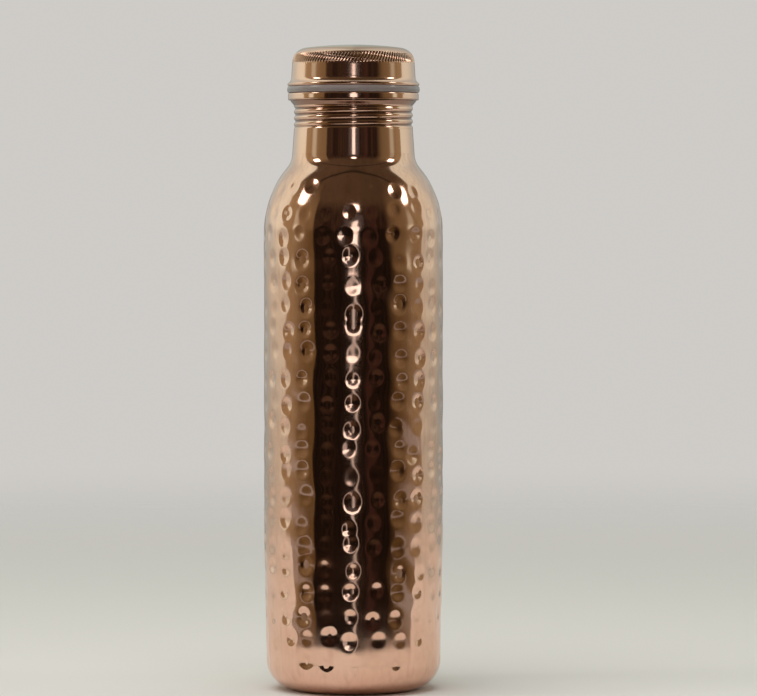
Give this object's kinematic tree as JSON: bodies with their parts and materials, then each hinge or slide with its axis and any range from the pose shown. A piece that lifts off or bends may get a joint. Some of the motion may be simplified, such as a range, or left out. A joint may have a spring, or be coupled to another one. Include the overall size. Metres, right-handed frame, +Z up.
{
  "type": "copper water bottle",
  "caption": "Hammered copper water bottle with a rounded shoulder, a short threaded neck, a silicone seal and a spun screw cap with a knurled edge and a flared skirt.",
  "frame": {"origin": "centre of the ring that the bottle stands on, on the resting plane", "axes": "+Z up along the bottle's axis; X and Y are free, as the bottle is round"},
  "size_m": [0.0736, 0.0736, 0.2637],
  "materials": {
    "hammered_copper": "hammered, polished and lacquered copper",
    "polished_copper": "polished copper",
    "spun_copper": "spun copper, fine lathe lines",
    "pressed_copper": "satin pressed copper",
    "silicone": "translucent silicone, satin"
  },
  "bodies": {
    "bottle": {"body_shell": "hammered_copper", "bottom_plate": "pressed_copper", "neck_tube": "polished_copper"},
    "seal": {"seal_ring": "silicone"},
    "cap": {"cap_shell": "spun_copper", "cap_plug": "pressed_copper"}
  },
  "joints": [
    {"name": "cap_lift", "type": "slide", "parent": "bottle", "child": "seal", "axis": [0, 0, 1], "range_m": [0, 0.017]},
    {"name": "cap_turn", "type": "hinge", "parent": "seal", "child": "cap", "pos_m": [0, 0, 0.2441], "axis": [0, 0, 1], "range_deg": [0, 2340]}
  ],
  "couplings": [
    {"joint": "cap_lift", "follows": "cap_turn", "m_per_rad": 0.0004138}
  ]
}
